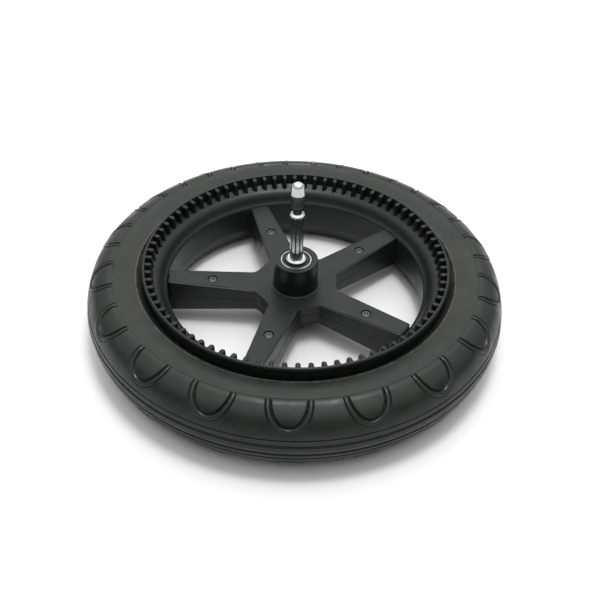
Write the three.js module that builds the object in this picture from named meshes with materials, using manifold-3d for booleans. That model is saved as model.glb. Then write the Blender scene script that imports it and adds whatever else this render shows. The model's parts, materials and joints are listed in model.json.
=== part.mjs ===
// A 12 inch trolley and stroller wheel that lies flat: a foam tyre, a rim with a toothed parking-brake
// ring, a star-shaped cover screwed onto its spokes, two ball bearings and a quick-release axle.
// Millimetres, +Z up along the axle. The origin is on the wheel's axis, on the surface it lies on.

import * as THREE from 'three';
import { mergeVertices } from 'three/addons/utils/BufferGeometryUtils.js';
import Module from 'manifold-3d';

// ---------------------------------------------------------------- driving dimensions
const GAP = 0.2; // between pieces that touch or are clamped together
const FIT = 0.05; // radial clearance of a piece that sits in a round seat

// Tyre. Heights named Z are above the wheel's middle plane, unless a comment says otherwise.
const TYRE_R = 147.5; // outer radius on the tread's crown
const TYRE_HALF = 25; // half the tyre's width
const SHOULDER_R = 17; // radius of the rounded edge between tread and side wall
const CROWN_DROP = 2.5; // how far the tread falls from its crown to the shoulder
const RIDGE_R = 128.2; // raised line round the side wall
const BEAD_R = 110.8; // where the side wall meets the rim's flange
const BEAD_Z = 20.4;

// Rim
const SEAM_Z = -2.3; // plane where the cover meets the rim's spokes
const SEAT_R = 101.5; // floor of the channel that holds the tyre
const SEAT_HALF = 13;
const FLANGE_R = 106.3; // outer wall of the flanges
const FLANGE_SLOPE = 3.5; // height of the slope from the channel's floor to that wall
const LIP_R = 107.1;
const BARREL_R = 91.2; // inside of the barrel at the seam
const WHEEL_SEGMENTS = 60; // the tyre and the rim share their facets, so their gap is even
const WHEEL_MID = TYRE_HALF; // height of the middle plane above the surface

// Brake ring
const TEETH = 80;
const TOOTH_PHASE = 1.6; // degrees from +X to a tooth's middle
const TOOTH_WIDTH = 3.3;
const TOOTH_TIP_R = 100.1;
const RING_WALL_R = 104.5;
const LEDGE_Z = 19.6; // floor under the teeth
const LIP_Z = 28.5; // top of the upper lip
const OUTER_LIP_Z = -22; // lowest edge of the rim

// Spokes
const SPOKES = 5;
const SPOKE_PHASE = 37.5; // degrees from +X to a spoke's middle line
const SPOKE_HALF_WIDTH = 8.9; // at SCREW_R
const SPOKE_TAPER = 0.0615; // half width lost for each millimetre outwards
const SPOKE_TOP_Z = 8.4; // at SCREW_R
const SPOKE_RISE = 0.076; // height gained for each millimetre outwards
const SPOKE_LOW_EXTRA = 0.6; // the rim's spokes are wider than the cover's on each side by this
const SPOKE_ROOT_R = 95; // the rim's spokes end inside the barrel's wall
const COVER_END_R = BARREL_R - 0.3; // the cover's spokes end just short of the barrel
const WINDOW_FLAT_R = 28; // flat at the hub's end of each window
const WINDOW_CHAMFER = 2.5;

// Hub
const HUB_R = 15.9;
const HUB_TOP_R = 15.3;
const HUB_TOP_Z = 27.6;
const HUB_LOW_Z = -18.5;
const HUB_BORE_R = 9.2;

// Screws that hold the cover on the rim
const SCREW_R = 59.5;
const SCREW_HEAD_R = 3;
const SCREW_HEAD_HEIGHT = 1.8;
const SCREW_SHANK_R = 1.8;
const SCREW_TIP_Z = -9.5;
const SCREW_RECESS_R = 3.45;
const SCREW_RECESS_DEPTH = 2.4;
const SOCKET_R = 1.45; // across the corners, of the hexagon socket
const SOCKET_DEPTH = 1.2;

// Inch bearing, 3/8 x 7/8 x 9/32
const BORE_R = 9.525 / 2;
const BEARING_R = 22.225 / 2;
const BEARING_WIDTH = 7.14;
const BALLS = 7;
const BALL_R = 3.969 / 2;
const BALL_PITCH_R = 7.95;
const RACE_CLEARANCE = 0.08; // between a ball and its groove
const INNER_LAND_R = 6.7;
const OUTER_LAND_R = 9.4;
const SEAL_WIDTH = 0.5;
const SEAL_INSET = 0.25;
const CAGE_HALF = 2.5;
const UPPER_BEARING_TOP = 27.1;
const LOWER_BEARING_TOP = -10.56;
const RING_SEGMENTS = 32;

// Axle, from its lower end to its tip
const AXLE_R = BORE_R - FIT;
const AXLE_LOW_Z = -20.3;
const CLIP_GROOVE_TOP = -18.65;
const CLIP_GROOVE_HEIGHT = 0.9;
const CLIP_GROOVE_R = 3.9;
const FLARE_Z = 65.3; // the shaft's full length ends here with a bright shoulder
const FLARE_R = 4.95;
const NECK_LOW_Z = 66.9; // groove that the frame's latch drops into
const NECK_TOP_Z = 72.5;
const NECK_R = 3.2;
const TIP_CONE_Z = 82.3;
const TIP_TOP_Z = 90;
const TIP_R = 3.8;
const TIP_FACE_R = 2.6;
const COLLAR_R = 7.35;
const COLLAR_HEIGHT = 2.1;
const AXLE_SEGMENTS = 20;

// ---------------------------------------------------------------- materials
function finish(color, roughness, metalness) {
  return new THREE.MeshStandardMaterial({ color, roughness, metalness });
}
const tyreFoam = () => finish(0x1b1f1c, 0.55, 0);
const rimPlastic = () => finish(0x202422, 0.5, 0);
const capPlastic = () => finish(0x1a1c1b, 0.45, 0);
const sealRubber = () => finish(0x141414, 0.6, 0);
const chrome = () => finish(0xd9dcdd, 0.12, 1);
const bearingSteel = () => finish(0xb9bcbd, 0.25, 1);
const screwSteel = () => finish(0x8d908f, 0.35, 1);
const cageSteel = () => finish(0xa9a48f, 0.4, 1);

// ---------------------------------------------------------------- geometry helpers
const wasm = await Module();
wasm.setup();

const radians = (degrees) => THREE.MathUtils.degToRad(degrees);

// Points on an arc from one angle to another, in degrees.
function arc(centreX, centreY, radius, from, to, steps) {
  return Array.from({ length: steps + 1 }, (_, i) => {
    const a = radians(from + ((to - from) * i) / steps);
    return [centreX + radius * Math.cos(a), centreY + radius * Math.sin(a)];
  });
}

function merged(geometry) {
  geometry.deleteAttribute('normal');
  geometry.deleteAttribute('uv');
  return mergeVertices(geometry, 1e-3);
}

// Turns an outline of [radius, height] points round the Z axis. The outline runs anticlockwise, seen
// with the radius to the right and the height up. It closes itself where it doesn't meet the axis.
function revolve(outline, segments) {
  const points = outline.map(([r, z]) => new THREE.Vector2(r, z));
  const onAxis = outline[0][0] === 0 && outline[outline.length - 1][0] === 0;
  if (!onAxis) points.push(points[0].clone());
  const geometry = new THREE.LatheGeometry(points, segments);
  geometry.rotateX(Math.PI / 2);
  return merged(geometry);
}

// A ring with plain faces, and a plain cylinder on the axis.
function tube(inside, outside, low, high, segments) {
  return revolve([[inside, low], [outside, low], [outside, high], [inside, high]], segments);
}

function rod(radius, low, high, segments) {
  return revolve([[0, low], [radius, low], [radius, high], [0, high]], segments);
}

function prism(points, low, high) {
  const shape = new THREE.Shape(points.map(([x, y]) => new THREE.Vector2(x, y)));
  const geometry = new THREE.ExtrudeGeometry(shape, { depth: high - low, bevelEnabled: false });
  geometry.translate(0, 0, low);
  return merged(geometry);
}

function solid(geometry) {
  const vertProperties = new Float32Array(geometry.attributes.position.array);
  const triVerts = new Uint32Array(geometry.index.array);
  return new wasm.Manifold(new wasm.Mesh({ numProp: 3, vertProperties, triVerts }));
}

function geometryOf(manifold) {
  const { vertProperties, triVerts } = manifold.getMesh();
  const geometry = new THREE.BufferGeometry();
  geometry.setAttribute('position', new THREE.BufferAttribute(vertProperties, 3));
  geometry.setIndex(new THREE.BufferAttribute(triVerts, 1));
  geometry.computeVertexNormals();
  return geometry;
}

const wheel = new THREE.Group();

function place(name, geometry, material, x = 0, y = 0, z = WHEEL_MID) {
  const mesh = new THREE.Mesh(geometry, material);
  mesh.name = name;
  mesh.position.set(x, y, z);
  wheel.add(mesh);
}

// ---------------------------------------------------------------- tyre
// Half of the tyre's outline, from its seat out to the crown; the other half mirrors it.
function tyreHalf() {
  const shoulderX = TYRE_R - CROWN_DROP - SHOULDER_R;
  const shoulderZ = TYRE_HALF - SHOULDER_R;
  return [
    [SEAT_R + GAP, SEAT_HALF - GAP],
    [FLANGE_R + GAP, SEAT_HALF + FLANGE_SLOPE - GAP],
    [FLANGE_R + GAP, BEAD_Z - 2.6],
    [BEAD_R - 1.8, BEAD_Z - 0.5],
    [BEAD_R, BEAD_Z],
    [BEAD_R + 6, BEAD_Z + 2.4],
    [RIDGE_R - 3, TYRE_HALF],
    [RIDGE_R + 1, TYRE_HALF],
    ...arc(shoulderX, shoulderZ, SHOULDER_R, 75, 0, 4),
    [TYRE_R, 2.5],
  ];
}

function tyre() {
  const upper = tyreHalf();
  const lower = upper.map(([r, z]) => [r, -z]);
  return revolve([...lower, ...upper.toReversed()], WHEEL_SEGMENTS);
}

// ---------------------------------------------------------------- rim
// Cross section of the rim's ring: up the tyre's seat, over the toothed lip, down the barrel and round
// the lower lip.
const ringOutline = [
  [SEAT_R, -SEAT_HALF],
  [SEAT_R, SEAT_HALF],
  [FLANGE_R, SEAT_HALF + FLANGE_SLOPE],
  [FLANGE_R, LIP_Z - 3.2],
  [LIP_R, LIP_Z - 2.4],
  [LIP_R, LIP_Z - 0.9],
  [LIP_R - 0.7, LIP_Z],
  [RING_WALL_R, LIP_Z],
  [RING_WALL_R, LEDGE_Z],
  [97.5, LEDGE_Z],
  [95.6, LEDGE_Z - 1.2],
  [94.2, LEDGE_Z - 4],
  [BARREL_R + 1.2, 7],
  [BARREL_R, SEAM_Z],
  [BARREL_R - 0.8, -10],
  [BARREL_R - 0.9, OUTER_LIP_Z + 6],
  [BARREL_R + 0.8, OUTER_LIP_Z + 3],
  [BARREL_R + 6, OUTER_LIP_Z + 0.9],
  [RING_WALL_R, OUTER_LIP_Z],
  [LIP_R - 0.7, OUTER_LIP_Z],
  [LIP_R, OUTER_LIP_Z + 0.7],
  [LIP_R, OUTER_LIP_Z + 2],
  [FLANGE_R, OUTER_LIP_Z + 2.8],
  [FLANGE_R, -SEAT_HALF - FLANGE_SLOPE],
];

// One brake tooth, a peg with a narrowed tip, standing on the ledge against the ring's wall.
function toothOutline(angle) {
  const half = TOOTH_WIDTH / 2;
  const rootR = RING_WALL_R + 0.8;
  const local = [[TOOTH_TIP_R, half / 2], [TOOTH_TIP_R, -half / 2], [rootR, -half], [rootR, half]];
  const [c, s] = [Math.cos(angle), Math.sin(angle)];
  return local.map(([x, y]) => [x * c - y * s, x * s + y * c]);
}

function teeth() {
  const pegs = Array.from({ length: TEETH }, (_, k) => {
    const angle = radians(TOOTH_PHASE + (360 / TEETH) * k);
    return solid(prism(toothOutline(angle), LEDGE_Z - 0.5, LIP_Z - 0.4));
  });
  return wasm.Manifold.union(pegs);
}

// Outline of the spokes and of the plate between them, seen from above. Each window ends in a flat
// beside the hub, and the flat's corners are chamfered.
function starOutline(extra) {
  const halfStep = Math.PI / SPOKES;
  const halfWidth = (r) => SPOKE_HALF_WIDTH - SPOKE_TAPER * (r - SCREW_R) + extra;
  const flatR = WINDOW_FLAT_R - extra;
  const flatHalf = (flatR * Math.sin(halfStep) - halfWidth(flatR)) / Math.cos(halfStep);
  const points = [];
  for (let k = 0; k < SPOKES; k += 1) {
    const angle = radians(SPOKE_PHASE) + 2 * halfStep * k;
    const along = new THREE.Vector2(Math.cos(angle), Math.sin(angle));
    const across = new THREE.Vector2(-along.y, along.x);
    const cornerR = flatR * Math.cos(halfStep) + flatHalf * Math.sin(halfStep);
    const at = (r, side) => along.clone().multiplyScalar(r).addScaledVector(across, side * halfWidth(r));
    points.push(at(cornerR + WINDOW_CHAMFER, -1), at(SPOKE_ROOT_R, -1));
    points.push(at(SPOKE_ROOT_R, 1), at(cornerR + WINDOW_CHAMFER, 1));
    const middle = angle + halfStep;
    const outward = new THREE.Vector2(Math.cos(middle), Math.sin(middle));
    const sideways = new THREE.Vector2(-outward.y, outward.x);
    for (const side of [-1, 1]) {
      const reach = side * (flatHalf - WINDOW_CHAMFER);
      points.push(outward.clone().multiplyScalar(flatR).addScaledVector(sideways, reach));
    }
  }
  return points.map((p) => [p.x, p.y]);
}

const spokeTop = (r) => SPOKE_TOP_Z + SPOKE_RISE * (r - SCREW_R);
const spokeBottom = (r) => 2 * SEAM_Z - spokeTop(r);

// The star-shaped cover: the upper half of the spokes, and the hub with the upper bearing's seat.
function starCover() {
  const envelope = [
    [0, SEAM_Z],
    [COVER_END_R, SEAM_Z],
    [COVER_END_R, spokeTop(COVER_END_R)],
    [HUB_R, spokeTop(HUB_R)],
    [0, spokeTop(HUB_R)],
  ];
  const hub = [
    [0, SEAM_Z],
    [HUB_R + 2.2, SEAM_Z],
    [HUB_R + 2.2, spokeTop(HUB_R)],
    [HUB_R + 0.6, spokeTop(HUB_R) + 0.6],
    [HUB_R, spokeTop(HUB_R) + 2.2],
    [HUB_TOP_R, HUB_TOP_Z - 0.5],
    [HUB_TOP_R - 0.5, HUB_TOP_Z],
    [0, HUB_TOP_Z],
  ];
  const bore = [
    [0, SEAM_Z - 1],
    [HUB_BORE_R, SEAM_Z - 1],
    [HUB_BORE_R, UPPER_BEARING_TOP - BEARING_WIDTH - GAP],
    [BEARING_R + FIT, UPPER_BEARING_TOP - BEARING_WIDTH - GAP],
    [BEARING_R + FIT, HUB_TOP_Z - 0.4],
    [BEARING_R + 0.6, HUB_TOP_Z + 1],
    [0, HUB_TOP_Z + 1],
  ];
  const spokes = solid(prism(starOutline(0), SEAM_Z - 1, HUB_TOP_Z));
  let cover = spokes.intersect(solid(revolve(envelope, WHEEL_SEGMENTS)));
  cover = cover.add(solid(revolve(hub, 48))).subtract(solid(revolve(bore, RING_SEGMENTS)));
  const recessFloor = spokeTop(SCREW_R) - SCREW_RECESS_DEPTH;
  for (const [x, y] of screwPlaces()) {
    const recess = rod(SCREW_RECESS_R, recessFloor, HUB_TOP_Z, 16);
    const hole = rod(SCREW_SHANK_R + GAP, SEAM_Z - 1, HUB_TOP_Z, 12);
    cover = cover.subtract(solid(recess.translate(x, y, 0))).subtract(solid(hole.translate(x, y, 0)));
  }
  return geometryOf(cover);
}

// The rim: ring, teeth, the lower half of the spokes, and the hub with the lower bearing's seat.
function rim() {
  const top = SEAM_Z - GAP;
  const envelope = [
    [0, spokeBottom(HUB_R)],
    [HUB_R, spokeBottom(HUB_R)],
    [SPOKE_ROOT_R + 1, spokeBottom(SPOKE_ROOT_R + 1)],
    [SPOKE_ROOT_R + 1, top],
    [0, top],
  ];
  const hub = [
    [0, HUB_LOW_Z],
    [HUB_R - 0.5, HUB_LOW_Z],
    [HUB_R, HUB_LOW_Z + 0.5],
    [HUB_R, top],
    [0, top],
  ];
  const bore = [
    [0, HUB_LOW_Z - 1],
    [BEARING_R + FIT, HUB_LOW_Z - 1],
    [BEARING_R + FIT, LOWER_BEARING_TOP + GAP],
    [HUB_BORE_R, LOWER_BEARING_TOP + GAP],
    [HUB_BORE_R, 0],
    [0, 0],
  ];
  const spokes = solid(prism(starOutline(SPOKE_LOW_EXTRA), HUB_LOW_Z, top));
  const star = spokes.intersect(solid(revolve(envelope, WHEEL_SEGMENTS)));
  const ring = solid(revolve(ringOutline, WHEEL_SEGMENTS)).add(teeth());
  let body = ring.add(star).add(solid(revolve(hub, 48))).subtract(solid(revolve(bore, RING_SEGMENTS)));
  for (const [x, y] of screwPlaces()) {
    const hole = rod(SCREW_SHANK_R + FIT, SCREW_TIP_Z - 1, 0, 12);
    body = body.subtract(solid(hole.translate(x, y, 0)));
  }
  return geometryOf(body);
}

// ---------------------------------------------------------------- screws
function screwPlaces() {
  return Array.from({ length: SPOKES }, (_, k) => {
    const angle = radians(SPOKE_PHASE + (360 / SPOKES) * k);
    return [SCREW_R * Math.cos(angle), SCREW_R * Math.sin(angle)];
  });
}

function screw() {
  const seat = spokeTop(SCREW_R) - SCREW_RECESS_DEPTH + GAP;
  const outline = [
    [0, SCREW_TIP_Z],
    [SCREW_SHANK_R - 0.5, SCREW_TIP_Z],
    [SCREW_SHANK_R, SCREW_TIP_Z + 1],
    [SCREW_SHANK_R, seat],
    [SCREW_HEAD_R, seat],
    [SCREW_HEAD_R, seat + SCREW_HEAD_HEIGHT - 0.4],
    [SCREW_HEAD_R - 0.4, seat + SCREW_HEAD_HEIGHT],
    [0, seat + SCREW_HEAD_HEIGHT],
  ];
  const socketFloor = seat + SCREW_HEAD_HEIGHT - SOCKET_DEPTH;
  const socket = [[0, socketFloor], [SOCKET_R, socketFloor], [SOCKET_R, 20], [0, 20]];
  return geometryOf(solid(revolve(outline, 12)).subtract(solid(revolve(socket, 6))));
}

// ---------------------------------------------------------------- bearings
// Half-round groove of a race, as points from one side of the ring to the other.
function groove(side, steps = 3) {
  const radius = BALL_R + RACE_CLEARANCE;
  const land = side > 0 ? OUTER_LAND_R : INNER_LAND_R;
  const open = Math.acos(Math.abs(land - BALL_PITCH_R) / radius);
  const from = side > 0 ? -open : Math.PI + open;
  const to = side > 0 ? open : Math.PI - open;
  return Array.from({ length: steps + 1 }, (_, i) => {
    const a = from + ((to - from) * i) / steps;
    return [BALL_PITCH_R + radius * Math.cos(a), radius * Math.sin(a)];
  });
}

function innerRing() {
  const half = BEARING_WIDTH / 2;
  const lands = [[BORE_R, half], [BORE_R, -half], [INNER_LAND_R, -half]];
  return revolve([...lands, ...groove(-1), [INNER_LAND_R, half]], RING_SEGMENTS);
}

function outerRing() {
  const half = BEARING_WIDTH / 2;
  const lands = [[OUTER_LAND_R, -half], [BEARING_R, -half], [BEARING_R, half], [OUTER_LAND_R, half]];
  return revolve([...lands, ...groove(1).reverse()], RING_SEGMENTS);
}

function seal() {
  const half = SEAL_WIDTH / 2;
  return tube(INNER_LAND_R + 0.15, OUTER_LAND_R - FIT, -half, half, RING_SEGMENTS);
}

// Seal, balls and cage run between the rings without touching them.
function cage() {
  const [inside, outside] = [INNER_LAND_R + 0.35, OUTER_LAND_R - 0.35];
  let body = solid(tube(inside, outside, -CAGE_HALF, CAGE_HALF, 3 * BALLS));
  for (let k = 0; k < BALLS; k += 1) {
    const pocket = merged(new THREE.CylinderGeometry(BALL_R + 0.25, BALL_R + 0.25, BALL_PITCH_R, 8));
    pocket.rotateZ(Math.PI / 2).translate(BALL_PITCH_R, 0, 0).rotateZ((2 * Math.PI * k) / BALLS);
    body = body.subtract(solid(pocket));
  }
  return geometryOf(body);
}

function ballPlaces() {
  return Array.from({ length: BALLS }, (_, k) => {
    const angle = (2 * Math.PI * k) / BALLS;
    return [BALL_PITCH_R * Math.cos(angle), BALL_PITCH_R * Math.sin(angle)];
  });
}

function addBearing(prefix, top) {
  const middle = WHEEL_MID + top - BEARING_WIDTH / 2;
  const sealOffset = BEARING_WIDTH / 2 - SEAL_INSET - SEAL_WIDTH / 2;
  place(`${prefix}_outer_ring`, outerRing(), bearingSteel(), 0, 0, middle);
  place(`${prefix}_inner_ring`, innerRing(), bearingSteel(), 0, 0, middle);
  place(`${prefix}_upper_seal`, seal(), sealRubber(), 0, 0, middle + sealOffset);
  place(`${prefix}_lower_seal`, seal(), sealRubber(), 0, 0, middle - sealOffset);
  place(`${prefix}_cage`, cage(), cageSteel(), 0, 0, middle);
  ballPlaces().forEach(([x, y], k) => {
    const ball = merged(new THREE.SphereGeometry(BALL_R, 8, 6));
    place(`${prefix}_ball_${k + 1}`, ball, bearingSteel(), x, y, middle);
  });
}

// ---------------------------------------------------------------- axle and its fittings
function axle() {
  return revolve([
    [0, AXLE_LOW_Z],
    [AXLE_R - 0.5, AXLE_LOW_Z],
    [AXLE_R, AXLE_LOW_Z + 0.5],
    [AXLE_R, CLIP_GROOVE_TOP - CLIP_GROOVE_HEIGHT],
    [CLIP_GROOVE_R, CLIP_GROOVE_TOP - CLIP_GROOVE_HEIGHT],
    [CLIP_GROOVE_R, CLIP_GROOVE_TOP],
    [AXLE_R, CLIP_GROOVE_TOP],
    [AXLE_R, FLARE_Z - 0.4],
    [FLARE_R, FLARE_Z],
    [FLARE_R, FLARE_Z + 0.5],
    [NECK_R, NECK_LOW_Z],
    [NECK_R, NECK_TOP_Z],
    [AXLE_R, NECK_TOP_Z + 0.4],
    [AXLE_R, TIP_CONE_Z],
    [TIP_R, TIP_TOP_Z - 1.4],
    [TIP_FACE_R + 0.6, TIP_TOP_Z - 0.4],
    [TIP_FACE_R, TIP_TOP_Z],
    [0, TIP_TOP_Z],
  ], AXLE_SEGMENTS);
}

function collar() {
  const low = UPPER_BEARING_TOP + GAP;
  return revolve([
    [BORE_R, low],
    [COLLAR_R - 0.4, low],
    [COLLAR_R, low + 0.4],
    [COLLAR_R - 0.2, low + 1.2],
    [COLLAR_R - 0.9, low + COLLAR_HEIGHT - 0.3],
    [COLLAR_R - 1.5, low + COLLAR_HEIGHT],
    [BORE_R, low + COLLAR_HEIGHT],
  ], AXLE_SEGMENTS);
}

// Tube that keeps the inner rings of the two bearings apart.
function spacer() {
  const low = LOWER_BEARING_TOP + GAP;
  const high = UPPER_BEARING_TOP - BEARING_WIDTH - GAP;
  return tube(BORE_R, INNER_LAND_R - 0.4, low, high, AXLE_SEGMENTS);
}

function washer() {
  const high = LOWER_BEARING_TOP - BEARING_WIDTH - GAP / 2;
  return tube(BORE_R, INNER_LAND_R + 0.3, CLIP_GROOVE_TOP + GAP, high, AXLE_SEGMENTS);
}

// Open retaining ring that snaps into the axle's groove from the side.
function clip() {
  const inner = CLIP_GROOVE_R + FIT;
  const outline = [...arc(0, 0, 6.6, 35, 325, 20), ...arc(0, 0, inner, 325, 35, 16)];
  return prism(outline, CLIP_GROOVE_TOP - CLIP_GROOVE_HEIGHT + 0.08, CLIP_GROOVE_TOP - 0.08);
}

// Domed cap over the lower end of the hub and of the axle.
function hubCap() {
  return revolve([
    [0, -23.2],
    [13, -23],
    [16.8, -22],
    [18.4, -20],
    [18.4, spokeBottom(18.4) - GAP],
    [HUB_R + GAP, spokeBottom(18.4) - GAP],
    [HUB_R + GAP, HUB_LOW_Z - GAP],
    [14.6, HUB_LOW_Z - GAP],
    [14, -20.6],
    [12, -21.3],
    [0, -21.5],
  ], 32);
}

// ---------------------------------------------------------------- assembly
place('tyre', tyre(), tyreFoam());
place('rim', rim(), rimPlastic());
place('star_cover', starCover(), rimPlastic());
screwPlaces().forEach(([x, y], k) => place(`cover_screw_${k + 1}`, screw(), screwSteel(), x, y));
place('hub_cap', hubCap(), capPlastic());
addBearing('brake_side_bearing', UPPER_BEARING_TOP);
addBearing('outer_side_bearing', LOWER_BEARING_TOP);
place('bearing_spacer', spacer(), bearingSteel());
place('axle', axle(), chrome());
place('axle_collar', collar(), chrome());
place('axle_washer', washer(), bearingSteel());
place('axle_clip', clip(), bearingSteel());

export default wheel;
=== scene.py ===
# A 12 inch stroller wheel that lies flat on a pale floor: foam tyre, rim with a toothed brake ring,
# star-shaped cover, two ball bearings and a push-in axle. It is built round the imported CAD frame.
# Shapes are in millimetres, with heights above the wheel's middle plane, until add_piece places them.
# An outline's points are (radius, height), or (radius, height, fillet) where round_corners takes it.

import json
import math

import bmesh
import bpy
import numpy as np
from mathutils import Matrix, Vector
from mathutils.geometry import delaunay_2d_cdt


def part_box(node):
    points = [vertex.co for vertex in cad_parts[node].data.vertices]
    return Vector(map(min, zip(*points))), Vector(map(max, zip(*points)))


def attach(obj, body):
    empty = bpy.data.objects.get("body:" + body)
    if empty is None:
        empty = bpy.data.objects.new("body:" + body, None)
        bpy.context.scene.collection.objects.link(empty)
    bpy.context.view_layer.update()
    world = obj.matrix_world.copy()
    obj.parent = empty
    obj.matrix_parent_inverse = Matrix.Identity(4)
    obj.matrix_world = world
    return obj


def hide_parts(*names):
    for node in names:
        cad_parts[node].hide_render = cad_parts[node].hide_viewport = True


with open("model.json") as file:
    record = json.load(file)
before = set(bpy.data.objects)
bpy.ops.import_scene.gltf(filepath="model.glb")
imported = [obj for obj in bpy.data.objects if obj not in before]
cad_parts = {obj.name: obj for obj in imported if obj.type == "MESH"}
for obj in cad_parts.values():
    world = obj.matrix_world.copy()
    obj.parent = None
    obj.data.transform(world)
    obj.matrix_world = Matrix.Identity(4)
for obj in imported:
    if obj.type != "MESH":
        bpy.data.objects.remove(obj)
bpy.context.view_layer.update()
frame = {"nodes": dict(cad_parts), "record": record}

# ---------------------------------------------------------------- measures taken from the frame
MM = 0.001
tyre_low, tyre_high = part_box("tyre")
MIDDLE = (tyre_low.z + tyre_high.z) / 2
TYRE_R = tyre_high.x / MM


def height(node, end):
    """Height of a node's lower (0) or upper (1) end above the wheel's middle plane."""
    return (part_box(node)[end].z - MIDDLE) / MM


def radius(node):
    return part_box(node)[1].x / MM


# ---------------------------------------------------------------- tyre sizes
CROWN_MARGIN = 0.3  # the raised centre line stays inside the frame's box
BEAD = (110.5, 20.4)  # where the side wall meets the flange
RIDGE_R = 129.4  # edge of the tread's blocks on the side wall
MARKS = 18  # U-shaped marks on each side wall
MARK_PHASE = 9.5  # degrees from +X to the middle of a mark
MARK_R = 136.0  # radius at which a mark's width is measured
MARK_HALF = math.radians(5.45)  # half the angle between a mark's legs
MARK_DEPTH = 19.0  # from the ridge to the bottom of a mark, along the surface
MARK_END = 22.5  # where the plain tread begins, along the surface
LEG_OVERRUN = 3.0  # the legs run this far past the ridge
CORE_DEPTH = 9.0  # from the ridge to the middle of the field inside a mark
STRETCH = (math.radians(1.2), math.radians(10))  # the foam is stretched unevenly round the rim
TREAD_GROOVES = ((7.9, 1.0, 1.1), (3.6, 1.4, 1.1))  # height, half width and depth, on both sides
CENTRE_LINE = (0.8, 0.2)  # half width and height
SEAT_R = 101.5  # bottom of the rim's channel
SEAT_GAP = 0.3  # between the tyre and the channel

# ---------------------------------------------------------------- brake ring sizes
TEETH = 80
TOOTH_PHASE = 1.6  # degrees from +X to the first tooth
TOOTH_HALF = 1.65  # half a tooth's width, and the radius of its tip
TOOTH_TIP_R = 100.1
RING_WALL_R = (104.4, 105.3)  # at the ledge and at the lip
LEDGE_Z = 18.7  # at the teeth's tips
LEDGE_RISE = 0.42  # height gained per millimetre towards the wall
TOOTH_TOP_Z = 28.1
LIP_Z = 28.5
FLANGE_R = 106.3  # outside of the ring, above and below the tyre
BARREL_LOW = (90.9, -9)  # where the barrel begins to flare out

# ---------------------------------------------------------------- spoke, hub and screw sizes
SPOKES = 5
SPOKE_PHASE = 37.5  # degrees from +X to the first spoke
SPOKE_HALF_WIDTH = 8.9  # at SCREW_R
SPOKE_TAPER = 0.0615  # half width lost per millimetre outwards
SPOKE_TOP_Z = 8.4  # at SCREW_R
SPOKE_RISE = 0.076  # height gained per millimetre outwards
SPOKE_BASE_R = 95  # the rim's half of a spoke ends inside the barrel's wall
SEAM_Z = -2.3  # the cover meets the rim here
SEAM_GAP = 0.2
WINDOW_FLAT_R = 28  # from the axis to the flat between two spokes
WINDOW_CORNER_R = 8
COVER_END_R = 90.6
SCREW_R = 59.5
SCREW_SHANK_R = 1.8
SCREW_HEAD_R = 3
RECESS_R = 3.45
RECESS_EDGE_R = 3.75
RECESS_DEPTH = 2.4
COVER_HOLE_R = 2
RIM_HOLE_R = 1.85
HUB_R = 15.9
HUB_TOP_R = 15.3
HUB_FOOT = 2.4  # the hub's foot is drawn with the hub, not with the plate
HUB_BORE_R = 9.2
BEARING_FIT = 0.03  # room round a bearing
PLATE_RINGS = (20, 22.5)  # radii of the points that keep the plate's slope even

# ---------------------------------------------------------------- bearing and axle sizes
BALLS = 7
BALL_R = 1.98
BALL_PITCH_R = 7.95
GROOVE_R = 2.06  # radius of the ball groove's section
OUTER_LAND_R = 9.4
INNER_LAND_R = 6.7
INNER_BORE_R = 4.76
SEAL_R = 10.05  # the seal's seat in the outer ring
SEAL_STEP = 0.6  # depth of that seat
INNER_STEP = 0.08
SHAFT_R = 4.71
CLIP_GROOVE_R = 3.9
FLARE_R = 5.0
NECK_R = 3.2
COLLAR_R = 7.3
COLLAR_BORE_R = 4.75
CAP_R = 18.4
ROUND_COLUMNS = 96  # faces round the hub, the bearings and the axle
RECESS_COLUMNS = 32

# ---------------------------------------------------------------- outlines


def smooth_path(points, per_span=8):
    """Catmull-Rom curve through the points, with the first and the last point used twice."""
    p = np.array([points[0], *points, points[-1]], float)
    out = []
    for a, b, c, d in zip(p, p[1:], p[2:], p[3:]):
        for t in np.arange(per_span) / per_span:
            spline = 2 * b + (c - a) * t + (2 * a - 5 * b + 4 * c - d) * t**2
            out.append((spline + (3 * b - a - 3 * c + d) * t**3) / 2)
    return np.array([*out, p[-1]])


def round_corners(points, closed, steps=4):
    """Replaces each corner (x, y, fillet radius) by an arc. A radius of 0 keeps the corner."""
    count = len(points)
    out = []
    for i, (x, y, fillet) in enumerate(points):
        at_end = not closed and i in (0, count - 1)
        if fillet == 0 or at_end:
            out.append((x, y))
            continue
        corner = Vector((x, y))
        before = Vector(points[i - 1][:2]) - corner
        after = Vector(points[(i + 1) % count][:2]) - corner
        angle = before.angle(after)
        reach = min(fillet / math.tan(angle / 2), 0.48 * before.length, 0.48 * after.length)
        start = corner + before.normalized() * reach
        end = corner + after.normalized() * reach
        bisector = (before.normalized() + after.normalized()).normalized()
        centre = corner + bisector * (reach / math.cos(angle / 2))
        sweep = (start - centre).angle_signed(end - centre)
        for k in range(steps + 1):
            arm = (start - centre).copy()
            arm.rotate(Matrix.Rotation(-sweep * k / steps, 2))
            out.append(tuple(centre + arm))
    return out


# ---------------------------------------------------------------- mesh building
WELD = 0.002  # vertices closer than this become one
SHARP_ANGLE = math.radians(35)


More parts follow.
